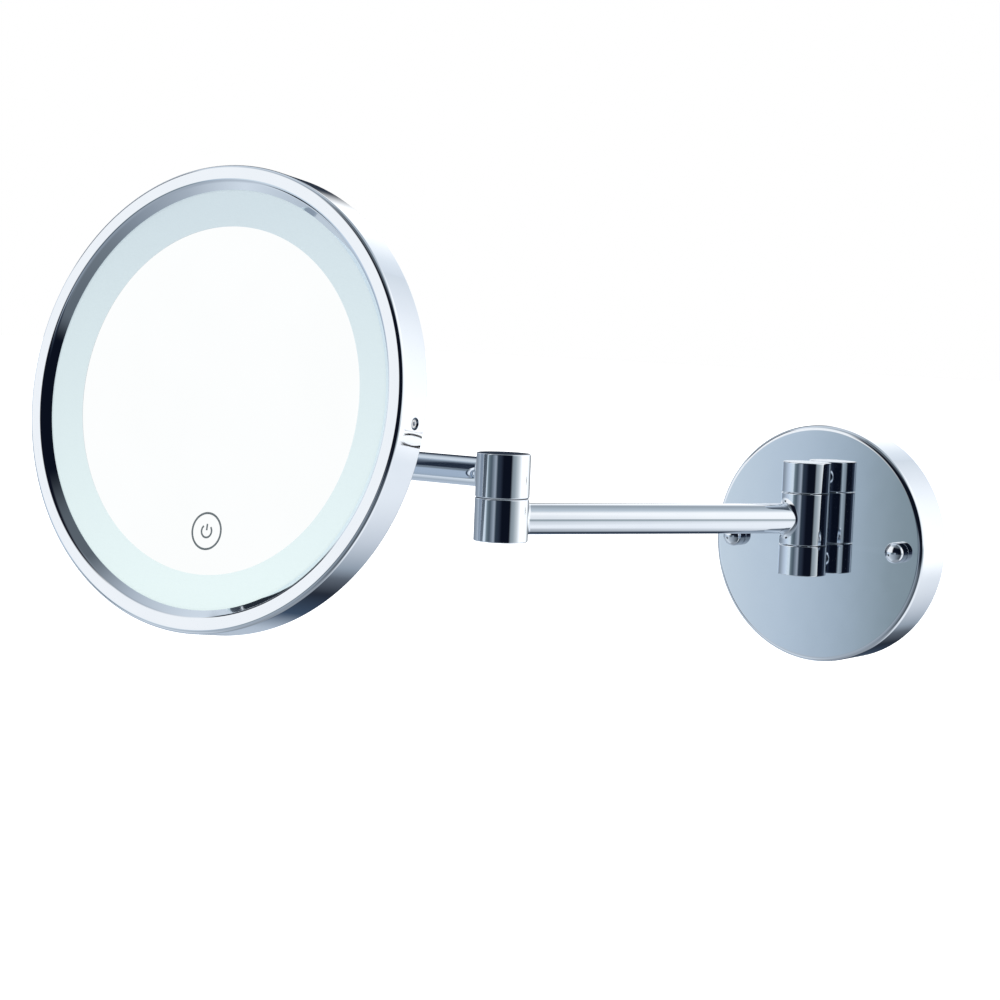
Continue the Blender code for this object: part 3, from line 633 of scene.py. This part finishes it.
def make_arm_one():
    knuckle = hollow_barrel("wall_knuckle_barrel", "wall_knuckle", WALL)
    seat_for_tube(knuckle, WALL, ARM_ONE, "arm_one_tube")
    piece(knuckle, "arm_one", "chrome", CHROME, "wall_knuckle")
    make_tube("arm_one_polished_tube", "arm_one_tube", "arm_one", WALL, ARM_ONE)
    elbow = hollow_barrel("elbow_lower_polished", "elbow_lower_barrel", ELBOW, floor=0.004)
    seat_for_tube(elbow, ELBOW, -ARM_ONE, "arm_one_tube")
    saddle("knuckle_saddle", "arm_one", WALL, ARM_ONE, "arm_one_tube", "wall_knuckle",
           0.0030, 0.0007)
    saddle("elbow_saddle", "arm_one", ELBOW, -ARM_ONE, "arm_one_tube", "elbow_lower_barrel",
           0.0012, 0.0010)
    piece(elbow, "arm_one", "chrome", CHROME, "elbow_lower_barrel")


def make_arm_two():
    elbow = hollow_barrel("elbow_upper_polished", "elbow_upper_barrel", ELBOW, roof=0.0024)
    seat_for_tube(elbow, ELBOW, ARM_TWO, "arm_two_tube")
    saddle("upper_elbow_saddle", "arm_two", ELBOW, ARM_TWO, "arm_two_tube", "elbow_upper_barrel",
           0.0010, 0.0010)
    grub = middle("elbow_grub_screw")
    out = flat(grub - ELBOW)
    drilled(elbow, grub - out * 0.003, grub + out * 0.01, 0.0021, SMALL)
    piece(elbow, "arm_two", "chrome", CHROME, "elbow_upper_barrel")
    make_socket_screw("elbow_grub_socket", "elbow_grub_screw", "arm_two", out, 0.0009)
    make_tube("arm_two_polished_tube", "arm_two_tube", "arm_two", ELBOW, ARM_TWO)


def make_wrist():
    """Upright barrel behind the head, and its cap."""
    low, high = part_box("wrist_post")[0].z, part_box("wrist_post")[1].z
    radius = girth("wrist_post", WRIST, UP)[1]
    points = [(0, low, 0), *barrel_sides(radius, low, high), (0, high, 0)]
    post = lathe("wrist_post_polished", points, turned_to(WRIST, UP))
    seat_for_tube(post, WRIST, -ARM_TWO, "arm_two_tube", 0.001)
    level = Vector((*WRIST.xy, BALL.z))
    drilled(post, level, level + flat(BALL - WRIST) * 0.02, 0.0041, SMALL)
    piece(post, "arm_two", "chrome", CHROME, "wrist_post")
    stem, seam = 0.0032, high + 0.0004
    low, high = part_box("wrist_cap")[0].z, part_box("wrist_cap")[1].z
    points = [(0, low, 0), (stem, low, 0), (stem, seam, 0),
              (radius, seam, 0.0003), (radius, high, 0.0007), (0, high, 0)]
    cap = lathe("wrist_cap_polished", points, turned_to(WRIST, UP))
    piece(cap, "arm_two", "chrome", CHROME, "wrist_cap")


def cut_key(screw, centre, out, top, depth, radius):
    """Cuts the hexagon socket in a screw's head."""
    floor = centre + out * (top - depth)
    cut(screw, rod("key", floor, centre + out * (top + 0.001), radius, 6))


def make_socket_screw(name, node, body, out, key):
    """Headless screw with a hexagon socket; key is the socket's radius."""
    centre = middle(node)
    low, high = span(node, centre, out)
    radius = girth(node, centre, out)[1]
    screw = rod(name, centre + out * low, centre + out * high, radius, SMALL, 0.00025)
    cut_key(screw, centre, out, high, 0.0014, key)
    piece(screw, body, "screw_steel", STEEL, node)


def make_ball_stud():
    """Polished ball on its waisted stud."""
    out = flat(BALL - WRIST)
    reach = (BALL - WRIST).xy.length
    low, high = span("ball_stud", WRIST, out)
    ball, neck, bore = 0.0080, 0.0032, 0.0019
    tail, collar, seat = 0.0040, 0.0055, 0.0123
    points = [(bore, low, 0), (tail, low, 0.0002), (tail, seat, 0), (collar, seat, 0.0003),
              (collar, seat + 0.0014, BROKEN_EDGE), (neck, seat + 0.0030, 0.0010)]
    start = math.degrees(math.asin(neck / ball)) - 90
    end = 90 - math.degrees(math.asin(bore / ball))
    steps = 24
    for step in range(steps + 1):
        angle = math.radians(start + (end - start) * step / steps)
        points.append((ball * math.cos(angle), reach + ball * math.sin(angle), 0))
    stud = lathe("ball_stud_polished", points, turned_to(Vector((*WRIST.xy, BALL.z)), out))
    piece(stud, "arm_two", "screw_steel", STEEL, "ball_stud")


# Head. Heights run along its axis, forwards from the ball's centre.


def bowl(latitudes):
    """Outline of the round seat of the ball's liner, at these degrees forward of its middle."""
    radius = 0.0102
    return [(radius * math.cos(math.radians(angle)), radius * math.sin(math.radians(angle)), 0)
            for angle in latitudes]


def make_ball_socket():
    """Flanged front half of the socket and its rear retaining ring."""
    outer, flange, wire_hole = 0.0130, 0.0220, 0.0051
    low, high = span("ball_socket", BALL, HEAD_NORMAL)
    plate, plate_front = 0.0079, 0.0101
    points = bowl(range(60, -1, -6))
    points += [(outer, low, 0), (outer, plate, 0), (flange, plate, BROKEN_EDGE),
               (flange, plate_front, BROKEN_EDGE), (outer, plate_front, 0),
               (outer, high, 0.0006), (wire_hole, high, BROKEN_EDGE)]
    socket = lathe("ball_socket_polished", points, HEAD)
    piece(socket, "head", "chrome", CHROME, "ball_socket")
    low, high = span("socket_ring", BALL, HEAD_NORMAL)
    points = bowl((-2, -7, -12, -17, -22, -28))
    points += [(outer, low, 0.0018), (outer, high, 0.0002)]
    ring = lathe("socket_ring_polished", points, HEAD)
    piece(ring, "head", "chrome", CHROME, "socket_ring")


def make_head_ring():
    """Ring with a narrow flat face, a straight side and a sloping throat down to the glass."""
    back, front = span("head_ring", BALL, HEAD_NORMAL)
    radius = girth("head_ring", BALL, HEAD_NORMAL)[1]
    skin, lip, throat, lip_depth = HEAD_SKIN, 0.1068, 0.1024, 0.0040
    under = throat + skin * math.hypot(lip - throat, lip_depth) / lip_depth
    run = (lip - throat) * (lip_depth - skin) / lip_depth
    points = [(radius, back, 0.0011), (radius, front, FACE_EDGE), (lip, front, 0.0036),
              (throat, front - lip_depth, 0.0002), (under, front - lip_depth, 0.0002),
              (under + run, front - skin, BROKEN_EDGE), (radius - skin, front - skin, BROKEN_EDGE),
              (radius - skin, back, BROKEN_EDGE)]
    ring = lathe("head_ring_polished", points, HEAD, VERY_FINE)
    for number in range(1, 5):
        node = f"side_screw_{number}"
        spot = middle(node)
        away = spot - BALL
        out = (away - HEAD_NORMAL * away.dot(HEAD_NORMAL)).normalized()
        drilled(ring, spot - out * 0.004, spot + out * 0.01, 0.0030, SMALL)
        make_socket_screw(f"{node}_socket", node, "head", out, 0.0011)
    piece(ring, "head", "chrome", CHROME, "head_ring")


def make_rear_cover():
    """Shallow dished cover with a rolled rim."""
    back, front = span("rear_cover", BALL, HEAD_NORMAL)
    radius = girth("rear_cover", BALL, HEAD_NORMAL)[1]
    skin, edge, collar = HEAD_SKIN, 0.0030, 0.0133
    rim, draft = back + 0.0030, 0.0006
    flat_part, slope, dish = 0.045, 0.080, back + 0.0008
    points = [(collar, back, 0), (flat_part, back, 0.3), (slope, dish, 0.25),
              (radius - draft, rim, edge), (radius, front, 0), (radius - skin, front, 0),
              (radius - skin - draft, rim + skin, edge - skin), (slope, dish + skin, 0.25),
              (flat_part, back + skin, 0.3), (collar, back + skin, 0)]
    cover = lathe("rear_cover_polished", points, HEAD, VERY_FINE)
    for number in (1, 2, 3):
        spot = middle(f"socket_screw_{number}")
        drilled(cover, spot - HEAD_NORMAL * 0.01, spot + HEAD_NORMAL * 0.01, 0.0018, SMALL)
    piece(cover, "head", "chrome", CHROME, "rear_cover")


def make_socket_screws():
    """Low cap screws with a hexagon socket."""
    shank, cap = 0.0014, 0.0030
    back = -HEAD_NORMAL
    for number in (1, 2, 3):
        node = f"socket_screw_{number}"
        centre = middle(node)
        low, high = span(node, centre, back)
        under = high - 0.0018
        points = [(0, low, 0), (shank, low, 0.0002), (shank, under, 0), (cap, under, 0.0002),
                  (cap, high, 0.0007), (0, high, 0)]
        screw = lathe(f"{node}_cap", points, turned_to(centre, back), SMALL)
        cut_key(screw, centre, back, high, 0.0010, 0.0012)
        piece(screw, "head", "screw_steel", STEEL, node)


GLASS_RISE = 0.0030
GLASS_HOLLOW = 0.0017
MIRROR_RADIUS = 0.0850
BAND_START = 0.0854


def glass_height(front, radius):
    """Height of the hollowed middle of the glass, at a radius up to the frosted band."""
    return front - GLASS_RISE - GLASS_HOLLOW * (1 - (radius / MIRROR_RADIUS) ** 2)


def make_glass():
    """Mirror glass whose outer band is frosted; the band's faces carry their own material."""
    back, front = span("mirror_glass", BALL, HEAD_NORMAL)
    radius = girth("mirror_glass", BALL, HEAD_NORMAL)[1]
    rim, edge, steps = 0.1015, 0.0003, 24
    rim_back = back + GLASS_RISE
    points = [(0, back, 0), (MIRROR_RADIUS, back, 0), (rim, rim_back, 0), (radius, rim_back, edge),
              (radius, front, edge), (rim, front, 0.002), (BAND_START, front - GLASS_RISE, 0)]
    for step in range(steps, -1, -1):
        place = MIRROR_RADIUS * step / steps
        points.append((place, glass_height(front, place), 0))
    glass = lathe("lit_mirror_glass", points, HEAD, VERY_FINE)
    glass.data.materials.append(MIRROR)
    glass.data.materials.append(FROSTED)
    lowest = front - GLASS_RISE - 0.0006
    for face in glass.data.polygons:
        away = face.center - BALL
        in_band = away.cross(HEAD_NORMAL).length > BAND_START
        face.material_index = int(in_band and away.dot(HEAD_NORMAL) > lowest)
    piece(glass, "head", "mirror_glass", None, "mirror_glass")
    return front


def bead(name, path, width, height, closed=False):
    """Low rounded line along points on the glass, in the head's frame."""
    bm = bmesh.new()
    rows = []
    count = len(path)
    for index, point in enumerate(path):
        ahead = path[(index + 1) % count] if closed or index < count - 1 else point
        behind = path[index - 1] if closed or index else point
        along = (ahead - behind).normalized()
        side = Vector((-along.y, along.x, 0))
        row = []
        for step in range(5):
            angle = math.pi * step / 4
            lift = Vector((0, 0, height * math.sin(angle)))
            row.append(bm.verts.new(point + side * (width / 2 * math.cos(angle)) + lift))
        rows.append(row)
    for index in range(count if closed else count - 1):
        row, other = rows[index], rows[(index + 1) % count]
        for step in range(5):
            bm.faces.new([row[step], other[step], other[(step + 1) % 5], row[(step + 1) % 5]])
    if not closed:
        bm.faces.new(rows[0])
        bm.faces.new(list(reversed(rows[-1])))
    return finish_mesh(name, bm, HEAD)


def make_touch_marks(front):
    """Touch ring low on the mirror, with a plain power sign in it."""
    away, turn = 0.0641, math.radians(-87.4)
    centre = Vector((away * math.cos(turn), away * math.sin(turn), 0))
    ring_line, sign_line, height = 0.0011, 0.0010, 0.00006

    def on_glass(x, y):
        spot = centre + Vector((x, y, 0))
        return spot + Vector((0, 0, glass_height(front, spot.length)))

    def circle(radius, start, end, steps):
        angles = [math.radians(start + (end - start) * step / steps) for step in range(steps)]
        return [on_glass(radius * math.cos(a), radius * math.sin(a)) for a in angles]

    ring = bead("touch_ring", circle(0.0088, 0, 360, 96), ring_line, height, True)
    piece(ring, "head", "mirror_glass", MARK)
    sign = bead("power_sign_arc", circle(0.0031, 130, 410, 40), sign_line, height)
    piece(sign, "head", "mirror_glass", MARK)
    stroke = [on_glass(0, y) for y in (0.0004, 0.0018, 0.0036)]
    piece(bead("power_sign_bar", stroke, sign_line, height), "head", "mirror_glass", MARK)


# Stage.

# The camera's place, its turn left, look down and roll in degrees, and its lens in millimetres.
CAMERA_SPOT = Vector((0.57746, -1.01723, 0.10729))
CAMERA_YAW = 38.22
CAMERA_PITCH = 4.61
CAMERA_ROLL = 2.35
CAMERA_LENS = 81.17
CAMERA_SENSOR = 36.0
FLOOR_Z = -0.55


def make_camera():
    yaw, pitch, roll = (math.radians(a) for a in (CAMERA_YAW, CAMERA_PITCH, CAMERA_ROLL))
    ahead = Vector((-math.sin(yaw) * math.cos(pitch), math.cos(yaw) * math.cos(pitch),
                    -math.sin(pitch)))
    level = Vector((math.cos(yaw), math.sin(yaw), 0))
    above = level.cross(ahead)
    right = level * math.cos(roll) + above * math.sin(roll)
    above = right.cross(ahead)
    data = bpy.data.cameras.new("camera")
    data.lens = CAMERA_LENS
    data.sensor_width = CAMERA_SENSOR
    camera = bpy.data.objects.new("camera", data)
    turn = Matrix((right, above, -ahead)).transposed().to_4x4()
    camera.matrix_world = Matrix.Translation(CAMERA_SPOT) @ turn
    bpy.context.scene.collection.objects.link(camera)
    bpy.context.scene.camera = camera


def ramp(tree, factor, stops):
    """Colour ramp over an azimuth factor; stops are (degrees, colour)."""
    node = tree.nodes.new("ShaderNodeValToRGB")
    elements = node.color_ramp.elements
    while len(elements) < len(stops):
        elements.new(0.5)
    for element, (degrees, colour) in zip(elements, stops):
        element.position = (degrees + 180) / 360
        element.color = (*colour, 1)
    tree.links.new(factor, node.inputs["Fac"])
    return node.outputs["Color"]


def mixed(tree, factor, first, second):
    """The first colour where the factor is 0 and the second where it is 1."""
    node = tree.nodes.new("ShaderNodeMix")
    node.data_type = "RGBA"
    tree.links.new(factor, node.inputs["Factor"])
    tree.links.new(first, node.inputs["A"])
    tree.links.new(second, node.inputs["B"])
    return node.outputs["Result"]


def between(tree, value, start, end):
    """0 before start and 1 after end, with a soft change."""
    node = tree.nodes.new("ShaderNodeMapRange")
    node.interpolation_type = "SMOOTHSTEP"
    node.inputs["From Min"].default_value = start
    node.inputs["From Max"].default_value = end
    tree.links.new(value, node.inputs["Value"])
    return node.outputs["Result"]


def plain_colour(tree, colour):
    node = tree.nodes.new("ShaderNodeRGB")
    node.outputs["Color"].default_value = (*colour, 1)
    return node.outputs["Color"]


# The studio's light, as (azimuth in degrees, colour). Azimuth 0 is straight in front of the wall,
# and it grows towards the left. There is one list for each band of elevation.
DARK = (0.004, 0.006, 0.013)
WHITE = (1.2, 1.2, 1.2)
LEVEL_LIGHT = [
    (-180, (0.95, 0.97, 0.98)), (-165, WHITE), (-124, WHITE), (-108, (0.64, 0.68, 0.70)),
    (-92, (0.35, 0.40, 0.43)), (-80, (0.25, 0.29, 0.32)), (-73, DARK), (-40, DARK),
    (-28, (0.022, 0.030, 0.050)), (-15, (0.03, 0.045, 0.065)), (-7, (0.36, 0.41, 0.48)),
    (3, (0.20, 0.24, 0.29)), (12, (0.08, 0.11, 0.14)), (21, (0.12, 0.16, 0.19)),
    (27.7, (0.22, 0.28, 0.31)), (30.2, (0.46, 0.55, 0.65)), (34, (0.70, 0.78, 0.84)),
    (50, (0.64, 0.74, 0.84)), (64, (0.53, 0.61, 0.72)), (92, (0.31, 0.36, 0.42)),
    (112, (0.24, 0.28, 0.34)), (150, (0.20, 0.23, 0.25)), (166, (0.27, 0.29, 0.31)),
    (180, (0.60, 0.62, 0.64)),
]
UPPER_LIGHT = [
    (-180, (0.74, 0.79, 0.84)), (-168, (0.90, 0.93, 0.97)), (-152, WHITE),
    (-96, (1.05, 1.05, 1.05)), (-82, (0.60, 0.65, 0.70)), (-74, DARK), (14, DARK),
    (24, (1.00, 1.00, 1.00)), (60, (1.02, 1.02, 1.02)), (80, (0.78, 0.84, 0.90)),
    (112, (0.45, 0.51, 0.58)), (134, (0.02, 0.03, 0.05)), (143, (0.03, 0.04, 0.06)),
    (150, WHITE), (163, WHITE), (174, (0.85, 0.90, 0.95)), (180, (0.76, 0.81, 0.87)),
]
CEILING_LIGHT = [
    (-180, (0.34, 0.38, 0.42)), (-110, (0.55, 0.62, 0.68)), (-70, (0.10, 0.12, 0.14)),
    (-10, (0.12, 0.14, 0.16)), (50, (0.45, 0.50, 0.56)), (90, (0.70, 0.76, 0.82)),
    (180, (0.34, 0.38, 0.42)),
]
LOWER_LIGHT = [
    (-180, (0.32, 0.37, 0.43)), (-168, (0.62, 0.66, 0.72)), (-156, (0.88, 0.91, 0.95)),
    (-100, (0.95, 0.97, 1.0)), (-84, (0.5, 0.55, 0.6)), (-74, (0.05, 0.06, 0.08)),
    (-50, (0.10, 0.12, 0.14)), (-24, (0.18, 0.21, 0.24)), (-6, (0.26, 0.30, 0.35)),
    (30, (0.42, 0.47, 0.53)), (62, (0.72, 0.78, 0.84)), (96, (0.40, 0.46, 0.53)),
    (120, (0.46, 0.53, 0.62)), (140, (0.48, 0.55, 0.64)), (150, (0.05, 0.08, 0.13)),
    (164, (0.02, 0.026, 0.04)), (174, (0.12, 0.14, 0.17)), (180, (0.32, 0.37, 0.43)),
]
GROUND_LIGHT = (0.30, 0.33, 0.37)
FLAG_SHADE = (0.02, 0.026, 0.036)

# Where one band gives way to the next, as sines of elevation.
LEVEL_TO_UPPER = (-0.05, 0.06)
LEVEL_TO_LOWER = (-0.13, -0.30)
UPPER_TO_CEILING = (0.60, 0.85)
LOWER_TO_GROUND = (-0.80, -0.95)

# Black flags: first and last degrees of azimuth, then lowest and highest sine of elevation.
FLAGS = (((64, 88), (0.30, 0.66)), ((48, 64), (-0.42, -0.20)))


def inside(tree, azimuth, height, across, tall):
    """1 inside a soft-edged patch of the studio and 0 outside it."""
    first, last = (math.radians(angle) for angle in across)
    low, high = tall
    side, end = math.radians(3), 0.03
    sides = math_node(tree, "MULTIPLY", between(tree, azimuth, first - side, first + side),
                      between(tree, azimuth, last + side, last - side))
    ends = math_node(tree, "MULTIPLY", between(tree, height, low - end, low + end),
                     between(tree, height, high + end, high - end))
    return math_node(tree, "MULTIPLY", sides, ends)


def studio_direction(tree):
    """Azimuth of a direction in radians, the same as a ramp's factor, and its sine of elevation."""
    split = tree.nodes.new("ShaderNodeSeparateXYZ")
    direction = tree.nodes.new("ShaderNodeTexCoord").outputs["Generated"]
    tree.links.new(direction, split.inputs["Vector"])
    left = math_node(tree, "MULTIPLY", split.outputs["X"], -1)
    front = math_node(tree, "MULTIPLY", split.outputs["Y"], -1)
    azimuth = math_node(tree, "ARCTAN2", left, front)
    factor = math_node(tree, "MULTIPLY_ADD", azimuth, 1 / math.tau)
    factor.node.inputs[2].default_value = 0.5
    return azimuth, factor, split.outputs["Z"]


def studio_light(tree):
    """Colour of the studio in every direction."""
    azimuth, factor, height = studio_direction(tree)
    shade = plain_colour(tree, FLAG_SHADE)
    light = mixed(tree, between(tree, height, *LEVEL_TO_UPPER), ramp(tree, factor, LEVEL_LIGHT),
                  ramp(tree, factor, UPPER_LIGHT))
    light = mixed(tree, between(tree, height, *LEVEL_TO_LOWER), light,
                  ramp(tree, factor, LOWER_LIGHT))
    light = mixed(tree, between(tree, height, *UPPER_TO_CEILING), light,
                  ramp(tree, factor, CEILING_LIGHT))
    for across, tall in FLAGS:
        light = mixed(tree, inside(tree, azimuth, height, across, tall), light, shade)
    ground = plain_colour(tree, GROUND_LIGHT)
    return mixed(tree, between(tree, height, *LOWER_TO_GROUND), light, ground)


def make_world():
    """Studio light by direction; a camera that looks past the object sees plain white."""
    world = bpy.data.worlds.new("studio")
    world.use_nodes = True
    bpy.context.scene.world = world
    tree = world.node_tree
    seen = tree.nodes.new("ShaderNodeLightPath").outputs["Is Camera Ray"]
    colour = mixed(tree, seen, studio_light(tree), plain_colour(tree, (1, 1, 1)))
    tree.links.new(colour, tree.nodes["Background"].inputs["Color"])


def make_light(name, spot, target, size, power):
    """Round soft light that doesn't show in the polish."""
    data = bpy.data.lights.new(name, "AREA")
    data.shape = "DISK"
    data.size = size
    data.energy = power
    light = bpy.data.objects.new(name, data)
    light.matrix_world = turned_to(Vector(spot), Vector(spot) - Vector(target))
    light.visible_glossy = False
    light.visible_camera = False
    bpy.context.scene.collection.objects.link(light)


def make_floor():
    """Plain pale floor with a painted glow: it gives off more light further from the middle, so it
    runs into the white of the studio.
    """
    bm = bmesh.new()
    bmesh.ops.create_grid(bm, x_segments=8, y_segments=8, size=30)
    bmesh.ops.translate(bm, verts=bm.verts, vec=(0, 0, FLOOR_Z))
    floor = finish_mesh("floor", bm)
    material, shader, tree = new_material("pale_floor_painted_glow")
    tree.links.new(two_colours(tree, noise(tree, 3, 2), (0.90, 0.90, 0.90), (0.93, 0.93, 0.93)),
                   shader.inputs["Base Color"])
    shader.inputs["Roughness"].default_value = 0.7
    length = tree.nodes.new("ShaderNodeVectorMath")
    length.operation = "LENGTH"
    tree.links.new(object_point(tree), length.inputs[0])
    # Painted glow: white emission on the floor, 0.35 strong within 0.8 m of the middle, rising to
    # full beyond 4 m.
    away = between(tree, length.outputs["Value"], 0.8, 4.0)
    tree.links.new(remap(tree, away, 0.35, 1.0, 0, 1), shader.inputs["Emission Strength"])
    shader.inputs["Emission Color"].default_value = (1, 1, 1, 1)
    floor.data.materials.append(material)
    floor.visible_glossy = False


def is_polished(obj):
    materials = obj.data.materials if obj.type == "MESH" else []
    return any(material in (CHROME, MIRROR, FROSTED) for material in materials)


def quieten_reflections():
    """Only the polished pieces of the mount, the knuckle and the head show in reflections."""
    for name, body in frame["bodies"].items():
        for obj in body.children_recursive:
            kept = name in ("wall_mount", "head") or "knuckle" in obj.name
            obj.visible_glossy = kept and is_polished(obj)


def give_finishes():
    """Materials of the CAD nodes that stay in view or inside."""
    for entry in frame["record"]["subparts"]:
        obj = frame["nodes"][entry["node"]]
        obj.data.materials.clear()
        obj.data.materials.append(KEPT_FINISHES[entry["material_slot"]])


def main():
    make_camera()
    give_finishes()
    make_cup()
    make_cap_nut("left")
    make_cap_nut("right")
    make_ears()
    make_arm_one()
    make_arm_two()
    make_wrist()
    make_ball_stud()
    make_ball_socket()
    make_socket_screws()
    make_head_ring()
    make_rear_cover()
    make_touch_marks(make_glass())
    make_world()
    make_floor()
    make_light("soft_key", (-0.9, -1.6, 1.5), (-0.1, -0.2, 0), 1.2, 20)
    make_light("soft_top", (0.2, -0.3, 1.8), (0, -0.2, 0), 1.6, 15)
    bpy.context.scene.view_settings.view_transform = "Standard"
    quieten_reflections()


main()
